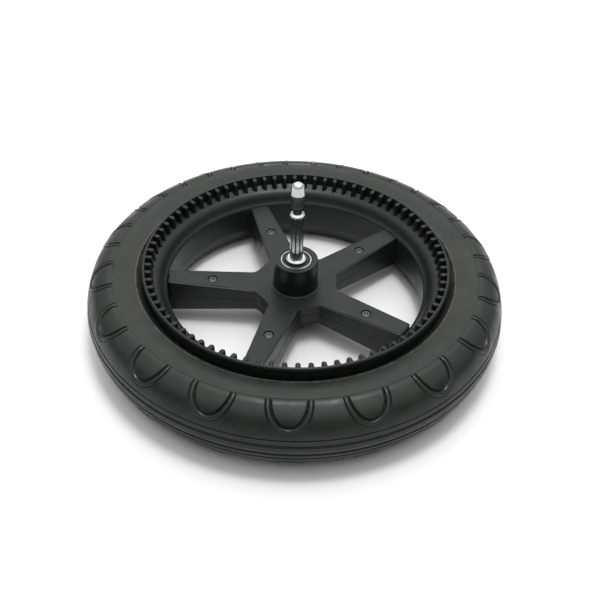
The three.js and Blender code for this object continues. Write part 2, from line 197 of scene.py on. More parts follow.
class Shape:
    """Collects vertices and faces of one piece, in millimetres above the wheel's middle plane."""

    def __init__(self):
        self.vertices = []
        self.faces = []

    def add_grid(self, points, wrap_rows=False, wrap_columns=True):
        """Quads over an array of rows and columns of points."""
        rows, columns = points.shape[:2]
        first = len(self.vertices)
        self.vertices.extend(points.reshape(-1, 3).tolist())
        for i in range(rows if wrap_rows else rows - 1):
            for j in range(columns if wrap_columns else columns - 1):
                a, b = i * columns + j, i * columns + (j + 1) % columns
                c, d = (i + 1) % rows * columns + (j + 1) % columns, (i + 1) % rows * columns + j
                self.faces.append((first + a, first + b, first + c, first + d))

    def add_cap(self, loops, height_at, extra=()):
        """Triangles between an outer loop and the holes after it, at a height given by the radius."""
        flat = [Vector(p) for loop in loops for p in loop] + [Vector(p) for p in extra]
        edges, start = [], 0
        for loop in loops:
            n = len(loop)
            edges += [(start + k, start + (k + 1) % n) for k in range(n)]
            start += n
        points, _, triangles, *_ = delaunay_2d_cdt(flat, edges, [], 2, 1e-6)
        first = len(self.vertices)
        self.vertices += [(p.x, p.y, height_at(p.length)) for p in points]
        holes = loops[1:]
        for face in triangles:
            middle = sum((points[k] for k in face), Vector((0, 0))) / len(face)
            if inside(middle, loops[0]) and not any(inside(middle, hole) for hole in holes):
                self.faces.append(tuple(first + k for k in face))


def inside(point, loop):
    """True if the point lies inside the closed loop."""
    x, y = point
    crossings = 0
    for (x0, y0), (x1, y1) in zip(loop, [*loop[1:], loop[0]]):
        if (y0 > y) != (y1 > y) and x < x0 + (y - y0) / (y1 - y0) * (x1 - x0):
            crossings += 1
    return crossings % 2 == 1


def lathe(outline, columns=ROUND_COLUMNS, centre=(0, 0)):
    """Turns an outline round an upright line. It is closed, or it starts and ends on that line."""
    shape = Shape()
    angles = np.arange(columns) * 2 * np.pi / columns
    outline = np.array(outline, float)
    points = np.empty((len(outline), columns, 3))
    points[:, :, 0] = centre[0] + outline[:, :1] * np.cos(angles)
    points[:, :, 1] = centre[1] + outline[:, :1] * np.sin(angles)
    points[:, :, 2] = outline[:, 1:]
    on_axis = outline[0][0] == 0 and outline[-1][0] == 0
    shape.add_grid(points, wrap_rows=not on_axis)
    return shape


def circle(radius_mm, count, centre=(0, 0)):
    angles = np.arange(count) * 2 * np.pi / count
    x, y = centre
    return [(x + radius_mm * math.cos(a), y + radius_mm * math.sin(a)) for a in angles]


def add_piece(name, shape, body, slot, nodes):
    """Makes the object, welds and smooths it, ties it to its body, gives it its slot's finish and
    hides its CAD nodes.
    """
    mesh = bpy.data.meshes.new(name)
    mesh.from_pydata(shape.vertices, [], shape.faces)
    work = bmesh.new()
    work.from_mesh(mesh)
    bmesh.ops.remove_doubles(work, verts=work.verts, dist=WELD)
    bmesh.ops.dissolve_degenerate(work, edges=work.edges, dist=WELD / 2)
    bmesh.ops.recalc_face_normals(work, faces=work.faces)
    to_metres = Matrix.Translation((0, 0, MIDDLE)) @ Matrix.Scale(MM, 4)
    bmesh.ops.transform(work, matrix=to_metres, verts=work.verts)
    work.to_mesh(mesh)
    work.free()
    mesh.shade_smooth()
    mesh.set_sharp_from_angle(angle=SHARP_ANGLE)
    mesh.materials.append(FINISHES[slot])
    piece = bpy.data.objects.new(name, mesh)
    bpy.context.scene.collection.objects.link(piece)
    weighted = piece.modifiers.new("even normals", "WEIGHTED_NORMAL")
    weighted.keep_sharp = True
    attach(piece, body)
    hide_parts(*nodes)
    return piece


# ---------------------------------------------------------------- materials


class Finish:
    """A node material with helpers that chain procedural textures into the shader's sockets."""

    def __init__(self, name, colour, roughness, metallic=0.0, specular=0.5):
        self.material = bpy.data.materials.new(name)
        self.material.use_nodes = True
        self.nodes = self.material.node_tree.nodes
        self.links = self.material.node_tree.links
        self.shader = self.nodes["Principled BSDF"]
        self.colour = (*colour, 1)
        self.shader.inputs["Base Color"].default_value = self.colour
        self.shader.inputs["Roughness"].default_value = roughness
        self.shader.inputs["Metallic"].default_value = metallic
        self.shader.inputs["Specular IOR Level"].default_value = specular
        self.place = self.nodes.new("ShaderNodeTexCoord").outputs["Object"]
        self.normal = None

    def stretched(self, x, y, z):
        """Object coordinates, scaled along each axis."""
        node = self.nodes.new("ShaderNodeMapping")
        node.inputs["Scale"].default_value = (x, y, z)
        self.links.new(self.place, node.inputs["Vector"])
        return node.outputs["Vector"]

    def noise(self, size_mm, detail=4, place=None):
        node = self.nodes.new("ShaderNodeTexNoise")
        node.inputs["Scale"].default_value = 1 / (size_mm * MM)
        node.inputs["Detail"].default_value = detail
        self.links.new(place or self.place, node.inputs["Vector"])
        return node.outputs["Fac"]

    def spread(self, value, low, high, to_low=0.0, to_high=1.0):
        """Maps a range of a texture's value onto another range."""
        node = self.nodes.new("ShaderNodeMapRange")
        node.inputs["From Min"].default_value = low
        node.inputs["From Max"].default_value = high
        node.inputs["To Min"].default_value = to_low
        node.inputs["To Max"].default_value = to_high
        self.links.new(value, node.inputs["Value"])
        return node.outputs["Result"]

    def times(self, a, b):
        node = self.nodes.new("ShaderNodeMath")
        node.operation = "MULTIPLY"
        self.links.new(a, node.inputs[0])
        self.links.new(b, node.inputs[1])
        return node.outputs[0]

    def tint(self, share, colour):
        """Mixes another colour into the base colour by a texture's value."""
        node = self.nodes.new("ShaderNodeMix")
        node.data_type = "RGBA"
        base = self.shader.inputs["Base Color"]
        if base.is_linked:
            self.links.new(base.links[0].from_socket, node.inputs["A"])
        else:
            node.inputs["A"].default_value = self.colour
        node.inputs["B"].default_value = (*colour, 1)
        self.links.new(share, node.inputs["Factor"])
        self.links.new(node.outputs["Result"], base)

    def vary_roughness(self, value):
        self.links.new(value, self.shader.inputs["Roughness"])

    def bump(self, value, height_mm, strength=1.0):
        node = self.nodes.new("ShaderNodeBump")
        node.inputs["Strength"].default_value = strength
        node.inputs["Distance"].default_value = height_mm * MM
        self.links.new(value, node.inputs["Height"])
        if self.normal:
            self.links.new(self.normal, node.inputs["Normal"])
        self.normal = node.outputs["Normal"]
        self.links.new(self.normal, self.shader.inputs["Normal"])

    def ring(self, inner_mm, outer_mm, soft_mm):
        """1 between two radii about the wheel's axis, falling to 0 over a soft edge."""
        flat = self.stretched(1, 1, 0)
        node = self.nodes.new("ShaderNodeVectorMath")
        node.operation = "LENGTH"
        self.links.new(flat, node.inputs[0])
        distance = node.outputs["Value"]
        rise = self.spread(distance, (inner_mm - soft_mm) * MM, inner_mm * MM)
        fall = self.spread(distance, outer_mm * MM, (outer_mm + soft_mm) * MM, 1, 0)
        return self.times(rise, fall)


def tyre_foam():
    """Dark foam with a satin skin, dust near the rim and scuffs along the bead."""
    f = Finish("tyre_foam", (0.0095, 0.0125, 0.0105), 0.5, specular=0.32)
    f.tint(f.spread(f.noise(26, 5), 0.35, 0.75), (0.014, 0.0165, 0.014))
    f.tint(f.spread(f.noise(1.6, 3), 0.62, 0.8, 0, 0.4), (0.032, 0.035, 0.031))
    dust = f.times(f.ring(111, 114, 7), f.spread(f.noise(8, 6), 0.45, 0.7, 0, 0.35))
    f.tint(dust, (0.026, 0.023, 0.017))
    scuffs = f.times(f.ring(110.7, 111.9, 0.5), f.spread(f.noise(3.5, 6), 0.35, 0.65, 0.1, 0.75))
    f.tint(scuffs, (0.085, 0.078, 0.055))
    f.vary_roughness(f.spread(f.noise(14, 6), 0.3, 0.72, 0.24, 0.5))
    f.bump(f.noise(0.9, 4), 0.06, 0.35)
    f.bump(f.noise(7, 4), 0.4, 0.35)
    return f.material


def moulded_plastic(name, colour):
    """Grained plastic with lighter patches and specks of dust."""
    f = Finish(name, colour, 0.45, specular=0.27)
    lighter = tuple(1.35 * c for c in colour)
    f.tint(f.spread(f.noise(18, 5), 0.35, 0.75), lighter)
    dust = f.spread(f.noise(2.2, 6), 0.66, 0.8, 0, 0.35)
    f.tint(dust, (0.09, 0.09, 0.085))
    f.vary_roughness(f.spread(f.noise(12, 6), 0.3, 0.75, 0.32, 0.46))
    f.bump(f.noise(0.45, 3), 0.04, 0.4)
    f.bump(f.noise(11, 2), 0.2, 0.2)
    return f.material


def metal(name, colour, smooth, rough, line_mm=0.25, line_depth=0.012):
    """Turned metal: fine rings round the axis, faint stains and an uneven polish."""
    f = Finish(name, colour, smooth, metallic=1.0)
    stain = tuple(0.6 * c for c in colour)
    f.tint(f.spread(f.noise(3.5, 5), 0.5, 0.8, 0, 0.5), stain)
    f.vary_roughness(f.spread(f.noise(2.5, 5), 0.3, 0.7, smooth, rough))
    f.bump(f.noise(line_mm, 2, f.stretched(0.02, 0.02, 1)), line_depth, 0.3)
    return f.material


def seal_rubber():
    """Matt rubber with grey dust."""
    f = Finish("seal_rubber", (0.01, 0.01, 0.01), 0.5, specular=0.3)
    f.tint(f.spread(f.noise(1.5, 4), 0.5, 0.8, 0, 0.6), (0.03, 0.03, 0.028))
    f.vary_roughness(f.spread(f.noise(1.2, 4), 0.3, 0.7, 0.35, 0.6))
    f.bump(f.noise(0.3, 3), 0.03, 0.3)
    return f.material


# One finish for each of the record's material slots.
FINISHES = {
    "tyre_foam": tyre_foam(),
    "rim_plastic": moulded_plastic("rim_plastic", (0.0095, 0.0125, 0.0105)),
    "cap_plastic": moulded_plastic("cap_plastic", (0.0095, 0.012, 0.0105)),
    "screw_steel": metal("screw_steel", (0.1, 0.1, 0.095), 0.3, 0.48, 0.4, 0.02),
    "chrome": metal("chrome", (0.57, 0.58, 0.58), 0.08, 0.18),
    "bearing_steel": metal("bearing_steel", (0.42, 0.43, 0.42), 0.18, 0.32, 0.15, 0.008),
    "seal_rubber": seal_rubber(),
    "cage_steel": metal("cage_steel", (0.52, 0.5, 0.44), 0.3, 0.45, 0.5, 0.02),
}

# ---------------------------------------------------------------- tyre
# Half of the outer surface, from the bead over the ridge to the crown.
TYRE_CURVE = smooth_path(
    [
        BEAD,
        (110.9, 21.6),
        (111.6, 22.25),
        (112.4, 22.1),
        (113.6, 22.2),
        (117.5, 23.3),
        (122.5, 24.25),
        (125.4, 24.35),
        (126.5, 24.1),
        (127.1, 24.15),
        (127.8, 24.65),
        (RIDGE_R, 24.85),
        (130.6, 24.72),
        (131.7, 24.3),
        (133.1, 23.65),
        (135.2, 22.6),
        (137.6, 21.2),
        (139.9, 19.5),
        (141.7, 17.6),
        (143.5, 14.6),
        (145.4, 10),
        (146.7, 5),
        (TYRE_R - CROWN_MARGIN, 0),
    ],
    per_span=12,
)


def along_curve(curve):
    """Length from the curve's first point to each of its points."""
    steps = np.hypot(*np.diff(curve, axis=0).T)
    return np.concatenate([[0], np.cumsum(steps)])


TYRE_LENGTHS = along_curve(TYRE_CURVE)
TYRE_LENGTHS -= np.interp(RIDGE_R, TYRE_CURVE[:, 0], TYRE_LENGTHS)  # 0 is on the ridge
TYRE_TANGENTS = np.gradient(TYRE_CURVE, TYRE_LENGTHS, axis=0)


def uneven(angle):
    """Where a point of the evenly moulded tyre sits on the rim."""
    return angle + STRETCH[0] * np.cos(angle - STRETCH[1])


def tyre_point(angle, s, lift, side):
    """Point on the tyre at an angle and at a distance s outwards from the ridge, raised by lift."""
    angle, s, lift = np.broadcast_arrays(uneven(angle), s, lift)
    r, z = (np.interp(s, TYRE_LENGTHS, TYRE_CURVE[:, k]) for k in (0, 1))
    tr, tz = (np.interp(s, TYRE_LENGTHS, TYRE_TANGENTS[:, k]) for k in (0, 1))
    size = np.hypot(tr, tz)
    r, z = r - lift * tz / size, z + lift * tr / size
    return np.stack([r * np.cos(angle), r * np.sin(angle), side * z], axis=-1)


def smoothstep(t):
    t = np.clip(t, 0, 1)
    return t * t * (3 - 2 * t)


def ridge_of(distance, half_width):
    """A rounded ridge of height 1 about 0, and 0 beyond its half width."""
    return np.cos(np.clip(distance / half_width, -1, 1) * np.pi / 2) ** 2


def mark_lift(across, roundness):
    """Cross section of a mark: an inner groove, a low bead and a narrow outer groove.
    roundness goes from 0 on the legs to 1 at the bottom of the U, where the inner groove is wider."""
    inner = ridge_of(across + 1.55 + 0.9 * roundness, 0.95 + 0.6 * roundness)
    outer = ridge_of(across - 1.5, 0.7)
    bead = ridge_of(across, 1.1)
    grooves = (1.45 + 0.25 * roundness) * inner + (0.95 - 0.5 * roundness) * outer
    return (0.12 + 0.25 * roundness) * bead - grooves


def mark_tile():
    """One mark with the surface round it, as (sideways, outwards, lift) in its own plane.
    Rows follow the U from leg to leg, columns run from the middle of the U to the tile's border."""
    half_width = MARK_HALF * MARK_R
    border = math.pi / MARKS * MARK_R
    leg = np.array([-LEG_OVERRUN, -2.4, -1.8, -1.2, -0.5])
    legs = len(leg)
    turn = np.linspace(0, np.pi, 37)
    leg_x = np.full(legs, half_width)
    x = np.concatenate([-leg_x, -half_width * np.cos(turn), leg_x])
    s = np.concatenate([leg, MARK_DEPTH * np.sin(turn), leg[::-1]])
    roundness = np.concatenate([np.zeros(legs), np.sin(turn), np.zeros(legs)])
    line = np.stack([x, s], -1)
    tangent = np.gradient(line, axis=0)
    tangent[: legs + 1] = (0, 1)
    tangent[-legs - 1 :] = (0, -1)
    tangent /= np.linalg.norm(tangent, axis=1)[:, None]
    normal = np.stack([-tangent[:, 1], tangent[:, 0]], -1)

    # The band holds the mark's section, with points where its grooves and its bead need them.
    across = np.concatenate([np.linspace(-3.8, -0.8, 12), [-0.4, 0, 0.45], np.linspace(0.88, 2.12, 7)])
    band = line[:, None] + across[None, :, None] * normal[:, None]
    fade = smoothstep(s + 2.5)  # the mark rises from nothing at the end of its legs
    lift = mark_lift(across[None, :], roundness[:, None]) * fade[:, None]

    core = np.stack([np.zeros_like(s), np.minimum(band[:, 0, 1], CORE_DEPTH)], -1)
    fill = np.linspace(0, 1, 5)[:-1]
    within = core[:, None] + fill[None, :, None] * (band[:, :1] - core[:, None])

    # Outside the band, the tile spreads to straight borders: two sides and the bottom.
    corner = np.searchsorted(turn, np.pi / 4) + legs
    edge_s = band[:, -1, 1]
    stretch = np.clip(edge_s / edge_s[corner], 0, 1) ** 2
    side_s = edge_s + (MARK_END - edge_s[corner]) * stretch
    rim = np.stack([np.sign(x) * border, side_s], -1)
    bottom = slice(corner, len(x) - corner)
    rim[bottom, 0] = border * x[bottom] / -x[corner]
    rim[bottom, 1] = MARK_END
    spread = np.linspace(0, 1, 5)[1:]
    beyond = band[:, -1:] + spread[None, :, None] * (rim[:, None] - band[:, -1:])

    flat = np.concatenate([within, band, beyond], axis=1)
    lifts = np.zeros(flat.shape[:2])
    lifts[:, len(fill) : len(fill) + len(across)] = lift
    return flat, lifts, bottom


def tread_lift(z):
    """Two pairs of round grooves and a fine line in the middle of the tread."""
    half_width, line_height = CENTRE_LINE
    lift = line_height * ridge_of(z, half_width)
    for at, half, deep in TREAD_GROOVES:
        lift = lift - deep * ridge_of(np.abs(z) - at, half)
    return lift


def build_tyre():
    shape = Shape()
    flat, lifts, bottom = mark_tile()
    centres = np.radians(MARK_PHASE + np.arange(MARKS) * 360 / MARKS)
    for side in (1, -1):
        for centre in centres:
            tile = tyre_point(centre + flat[..., 0] / MARK_R, flat[..., 1], lifts, side)
            shape.add_grid(tile, wrap_columns=False)

    # The tread between the marks of both sides uses the marks' own columns.
    offsets = flat[bottom, -1, 0][:-1] / MARK_R
    angles = (centres[:, None] + offsets[None]).ravel()
    crown = TYRE_LENGTHS[-1]
    out = np.linspace(MARK_END, crown, 30)
    for side in (1, -1):
        z = np.interp(out, TYRE_LENGTHS, TYRE_CURVE[:, 1])
        shape.add_grid(tyre_point(angles[None], out[:, None], tread_lift(z)[:, None], side))

    # The side walls and the seat use the columns along the marks' inner border.
    inner = np.concatenate([flat[0, ::-1, 0], flat[-1, 1:, 0]])[:-1] / MARK_R
    angles = (centres[:, None] + inner[None]).ravel()
    bead = TYRE_LENGTHS[0]
    wall = np.concatenate([np.linspace(-LEG_OVERRUN, bead + 2, 6), [bead + 0.8, bead]])
    for side in (1, -1):
        shape.add_grid(tyre_point(angles[None], wall[:, None], 0, side))
    seat_r = FLANGE_R + SEAT_GAP
    half_seat = [BEAD, (109.2, 19.9), (seat_r, 17.8), (seat_r, 16.4), (SEAT_R + SEAT_GAP, 12.8)]
    seat = np.array(half_seat + [(r, -z) for r, z in reversed(half_seat)])
    rows = [[(r * math.cos(a), r * math.sin(a), z) for a in uneven(angles)] for r, z in seat]
    shape.add_grid(np.array(rows))
    return shape


add_piece("foam_tyre", build_tyre(), "wheel", "tyre_foam", ["tyre"])

# ---------------------------------------------------------------- rim


def tooth_columns(inset, wall_r, short=0.0):
    """One tooth that points to the axis from +X, with half a gap on each side, as points (x, y).
    The tooth's edge is drawn in by inset, and its tip is set back by short."""
    half = TOOTH_HALF - inset
    centre_x = TOOTH_TIP_R + TOOTH_HALF + short
    gap = math.pi / TEETH
    corner = math.asin(TOOTH_HALF / wall_r)
    beside_tooth = corner + 0.0025
    gap_angles = [-gap, -(gap + corner) / 2, -beside_tooth]
    before = [(wall_r * math.cos(a), wall_r * math.sin(a)) for a in gap_angles]
    turns = np.linspace(-np.pi / 2, np.pi / 2, 7)
    arc = [(centre_x - half * math.cos(t), half * math.sin(t)) for t in turns]
    foot = wall_r * math.cos(corner)
    after = [(x, -y) for x, y in before[:0:-1]]
    return before + [(foot, -half)] + arc + [(foot, half)] + after


def base_angles():
    """The angles of the same columns on the plain parts of the ring, above and below the teeth."""
    wall_r = RING_WALL_R[0]
    columns = tooth_columns(0, wall_r)
    return [math.atan2(y, wall_r if x < wall_r - 1 else x) for x, y in columns]


def ring_rows():
    """Rows of the ring, from the tyre's seat over the lip, the teeth and the barrel to the seat."""
    turns = TOOTH_PHASE + np.arange(TEETH) * 360 / TEETH
    angles = (np.radians(turns)[:, None] + np.array(base_angles())[None]).ravel()

    def plain(r, z):
        """A round row."""
        return np.stack([r * np.cos(angles), r * np.sin(angles), np.full_like(angles, z)], -1)

    def toothed(inset, z, short=0.0, rise=0.0):
        """A row along the teeth. With a rise it slopes up from the tips to the wall."""
        wall_r = np.interp(z, (LEDGE_Z, TOOTH_TOP_Z), RING_WALL_R)
        local = np.array(tooth_columns(inset, wall_r, short))
        c, s = np.cos(np.radians(turns))[:, None], np.sin(np.radians(turns))[:, None]
        x, y = local[None, :, 0], local[None, :, 1]
        z = np.broadcast_to(z + rise * (np.hypot(x, y) - TOOTH_TIP_R), (TEETH, len(local)))
        return np.stack([x * c - y * s, x * s + y * c, z], -1).reshape(-1, 3)

    outside = round_corners(
        [
            (SEAT_R, -13, 0),
            (SEAT_R, 13, 0),
            (FLANGE_R, 16.5, 0.5),
            (FLANGE_R, 25.4, 0.6),
            (107.1, 26.2, 0.4),
            (107.4, 26.6, 0),
            (107.3, 27.4, 0),
            (107, 28, 0),
            (106.55, 28.35, 0),
            (106.1, LIP_Z, 0),
            (RING_WALL_R[1] + 0.15, LIP_Z - 0.1, 0),
            (RING_WALL_R[1], TOOTH_TOP_Z, 0),
        ],
        closed=False,
        steps=2,
    )
    barrel = smooth_path(
        [
            (99.4, LEDGE_Z - 0.35),
            (98.4, 17.8),
            (97.4, 17.1),
            (96.4, 16.2),
            (95.5, 15.1),
            (94.8, 13.9),
            (94.1, 12.7),
            (93.3, 11.6),
            (92.5, 10.8),
            (91.7, 10.1),
            (91.25, 9.2),
            (91.1, 7.8),
            (91, SEAM_Z),
            BARREL_LOW,
        ],
        per_span=2,
    )
    lower = round_corners(
        [
            (*BARREL_LOW, 0),
            (91.2, -11, 3),
            (94.6, -20.2, 1.5),
            (97.2, -21.1, 2),
            (104.5, -22, 1),
            (107.1, -22, 0.7),
            (107.1, -19.8, 0.4),
            (FLANGE_R, -19, 0.4),
            (FLANGE_R, -16.5, 0.5),
            (SEAT_R, -13, 0),
        ],
        closed=False,
        steps=2,
    )
    # A tooth's rounded top and tip, as (inset, distance below the top, set-back of the tip).
    rounding = [
        (0.7, 0, 1.2),
        (0.32, 0.12, 0.95),
        (0.08, 0.38, 0.7),
        (0, 0.8, 0.45),
        (0, 1.5, 0.2),
        (0, 2.6, 0),
    ]
    teeth = [toothed(inset, TOOTH_TOP_Z - down, short) for inset, down, short in rounding]
    teeth += [toothed(0, LEDGE_Z + 0.3, rise=LEDGE_RISE), toothed(-0.25, LEDGE_Z, rise=LEDGE_RISE)]
    rows = [plain(r, z) for r, z in outside] + teeth
    rows += [plain(r, z) for r, z in [*barrel, *lower[1:-1]]]
    return np.array(rows)


def spoke_top(r):
    """Height of the spokes' sloping top at a radius."""
    return SPOKE_TOP_Z + SPOKE_RISE * (r - SCREW_R)


def star_outline(offset, end_r, end_corner):
    """Outline of five spokes and the plate between them, moved outwards by offset."""
    half_step = math.pi / SPOKES
    sine, cosine = math.sin(half_step), math.cos(half_step)

    def half_width(r):
        return SPOKE_HALF_WIDTH - SPOKE_TAPER * (r - SCREW_R) + offset

    # The spoke's side line meets the window's flat at this distance along the spoke.
    flat_r = WINDOW_FLAT_R - offset
    corner_r = (flat_r - half_width(0) * sine) / (cosine - SPOKE_TAPER * sine)
    polygon = []
    for k in range(SPOKES):
        angle = math.radians(SPOKE_PHASE) + 2 * half_step * k
        along = Vector((math.cos(angle), math.sin(angle)))
        across = Vector((-along.y, along.x))
        end_half = half_width(end_r)
        tip = math.asin(end_half / end_r)
        reach = end_r - 8 - corner_r
        for side in (-1, 1):
            stops = [(corner_r, WINDOW_CORNER_R - offset)]
            stops += [(corner_r + reach * t, 0) for t in (0.25, 0.5, 0.75, 1)]
            points = [(*(along * r + across * side * half_width(r)), fillet) for r, fillet in stops]
            end = along * end_r * math.cos(tip) + across * side * end_half
            points.append((*end, end_corner))
            if side == 1:
                points.reverse()
                turns = [angle + t * tip for t in (-0.5, 0, 0.5)]
                points = [(end_r * math.cos(a), end_r * math.sin(a), 0) for a in turns] + points
            polygon += points
    return round_corners(polygon, closed=True)


def raise_rows(outlines):
    """Rows of a star's side wall: each outline has its own height over the radius."""
    rows = []
    for outline, height_at in outlines:
        rows.append([(x, y, height_at(math.hypot(x, y))) for x, y in outline])
    return np.array(rows)


def screw_places():
    turns = [math.radians(SPOKE_PHASE + k * 360 / SPOKES) for k in range(SPOKES)]
    return [(SCREW_R * math.cos(a), SCREW_R * math.sin(a)) for a in turns]


def add_holes(shape, hub_rows, recess_rows):
    """The hub's wall and bore, and the screw holes, as open grids from the first cap to the second."""
    rows = [[(x, y, z) for x, y in circle(r, ROUND_COLUMNS)] for r, z in hub_rows]
    shape.add_grid(np.array(rows))
    for place in screw_places():
        circles = [(circle(r, RECESS_COLUMNS, place), z) for r, z in recess_rows]
        shape.add_grid(np.array([[(x, y, z) for x, y in ring] for ring, z in circles]))


def cap_loops(outline, hub_r, hole_r):
    """The star's outline, with the hub and the screws as holes."""
    holes = [circle(hole_r, RECESS_COLUMNS, place) for place in screw_places()]
    return [outline, circle(hub_r, ROUND_COLUMNS), *holes]


def plate_points():
    """Points on the plate round the hub, so that its slope is even."""
    return [p for r in PLATE_RINGS for p in circle(r, 40)]


def seam(_r):
    return SEAM_Z


def below_seam(_r):
    return SEAM_Z - SEAM_GAP


def under_top(drop):
    """A height function: so far below the spokes' top."""
    return lambda r: spoke_top(r) - drop


def underside(r):
    """Height of the spokes' lower face, which mirrors their top at the seam."""
    return 2 * SEAM_Z - spoke_top(r)


def build_cover():
    """Upper half of the spokes with the hub, bored for the bearing and sunk for the screws."""
    shape = Shape()
    # A fine step runs along the top edge, and the sides lean out a little down to the seam.
    edge = [
        (-1.15, spoke_top),
        (-1.0, under_top(0.08)),
        (-0.9, under_top(0.35)),
        (-0.75, under_top(0.45)),
        (-0.3, under_top(0.5)),
        (-0.08, under_top(0.65)),
        (0, under_top(0.95)),
        (0.25, lambda r: SEAM_Z + 0.12),
        (0.15, seam),
    ]
    outlines = []
    for offset, height_at in edge:
        end_r = COVER_END_R + min(offset, 0)
        outlines.append((star_outline(offset, end_r, 1.6 + 0.5 * offset), height_at))
    shape.add_grid(raise_rows(outlines))

    bearing_r = radius("brake_side_bearing_outer_ring") + BEARING_FIT
    bearing_top, bearing_low = (height("brake_side_bearing_outer_ring", end) for end in (1, 0))
    top = height("star_cover", 1)
    foot_r = HUB_R + HUB_FOOT
    wall = round_corners(
        [
            (foot_r, spoke_top(foot_r), 0),
            (HUB_R, spoke_top(HUB_R), 1.2),
            (HUB_TOP_R, top, 0.5),
            (bearing_r + 0.4, top, 0.15),
            (bearing_r + 0.35, bearing_top - 0.5, 0),
            (bearing_r, bearing_top - 0.6, 0),
            (bearing_r, bearing_low - 0.1, 0),
            (HUB_BORE_R, bearing_low - 0.1, 0),
            (HUB_BORE_R, SEAM_Z, 0),
        ],
        closed=False,
        steps=6,
    )
    plate = SPOKE_TOP_Z
    floor = plate - RECESS_DEPTH
    recess = [
        (RECESS_EDGE_R, plate),
        (RECESS_R + 0.1, plate - 0.08),
        (RECESS_R, plate - 0.3),
        (RECESS_R, floor),
        (COVER_HOLE_R, floor),
        (COVER_HOLE_R, SEAM_Z),
    ]
    add_holes(shape, wall, recess)

    def top_face(r):
        """The spokes' top, level where the screws' recesses are."""
        return spoke_top(r) if abs(r - SCREW_R) > RECESS_EDGE_R + 0.45 else plate

    shape.add_cap(cap_loops(outlines[0][0], foot_r, RECESS_EDGE_R), top_face, plate_points())
    shape.add_cap(cap_loops(outlines[-1][0], HUB_BORE_R, COVER_HOLE_R), seam)
    return shape


def build_rim():
    """Ring with teeth, and the lower half of the spokes with the lower bearing's seat."""
    shape = Shape()
    shape.add_grid(ring_rows(), wrap_rows=True)

    edge = [
        (0.2, below_seam),
        (0.3, lambda r: SEAM_Z - SEAM_GAP - 0.1),
        (0.6, lambda r: underside(r) + 1.2),
        (0.4, lambda r: underside(r) + 0.45),
        (-0.3, underside),
    ]
    outlines = [(star_outline(offset, SPOKE_BASE_R, 0.5), height_at) for offset, height_at in edge]
    shape.add_grid(raise_rows(outlines))
    bearing_r = radius("outer_side_bearing_outer_ring") + BEARING_FIT
    bearing_top = height("outer_side_bearing_outer_ring", 1)
    low = height("outer_side_bearing_lower_seal", 0) - 0.6
    hub = [
        (HUB_BORE_R, SEAM_Z - SEAM_GAP),
        (HUB_BORE_R, bearing_top + 0.1),
        (bearing_r, bearing_top + 0.1),
        (bearing_r, low),
        (HUB_R - 0.5, low),
        (HUB_R, low + 0.5),
        (HUB_R, underside(HUB_R)),
    ]
    hole = [(RIM_HOLE_R, SEAM_Z - SEAM_GAP), (RIM_HOLE_R, underside(SCREW_R))]
    add_holes(shape, hub, hole)
    shape.add_cap(cap_loops(outlines[0][0], HUB_BORE_R, RIM_HOLE_R), below_seam)
    shape.add_cap(cap_loops(outlines[-1][0], HUB_R, RIM_HOLE_R), underside, plate_points())
    return shape


add_piece("rim_with_brake_ring", build_rim(), "wheel", "rim_plastic", ["rim"])
add_piece("star_cover_with_hub", build_cover(), "wheel", "rim_plastic", ["star_cover"])

# ---------------------------------------------------------------- screws


def build_screw(node, place):
    """Cap screw with a rounded head and a hexagon socket."""
    top, tip = height(node, 1), height(node, 0)
    seat = top - 1.8
    columns = 48
    angles = np.arange(columns) * 2 * np.pi / columns
    hexagon = 1.3 / np.cos((angles + np.pi / 6) % (np.pi / 3) - np.pi / 6)
    outline = [
        (0, tip),
        (SCREW_SHANK_R - 0.5, tip),
        (SCREW_SHANK_R, tip + 0.8),
        (SCREW_SHANK_R, seat),
        (SCREW_HEAD_R - 0.15, seat),
        (SCREW_HEAD_R, seat + 0.15),
        (SCREW_HEAD_R, top - 0.55),
        (SCREW_HEAD_R - 0.07, top - 0.3),
        (SCREW_HEAD_R - 0.25, top - 0.1),
        (SCREW_HEAD_R - 0.5, top),
        (1.75, top),
        (1.6, top - 0.12),
    ]
    # The socket's rows are shares of the hexagon, and end in a cone.
    socket = [(1, top - 0.25), (1, top - 1.1), (0.4, top - 1.35), (0, top - 1.4)]
    rows = [(np.full(columns, r), z) for r, z in outline]
    rows += [(hexagon * share, z) for share, z in socket]
    points = []
    for r, z in rows:
        x, y = place[0] + r * np.cos(angles), place[1] + r * np.sin(angles)
        points.append(np.stack([x, y, np.full(columns, z)], -1))
    shape = Shape()
    shape.add_grid(np.array(points))
    return shape


for k, place in enumerate(screw_places(), 1):
    node = f"cover_screw_{k}"
    add_piece(f"socket_screw_{k}", build_screw(node, place), "wheel", "screw_steel", [node])

# ---------------------------------------------------------------- bearings
# Section of a seal from its lip outwards, as (radius, depth below its outer face).
SEAL_SECTION = [
    (6.87, 0.15),
    (7, 0.03),
    (7.5, 0),
    (7.65, 0.14),
    (8.5, 0.14),
    (8.65, 0),
    (9.4, 0),
    (9.95, 0.2),
    (9.95, 0.45),
    (6.87, 0.45),
]


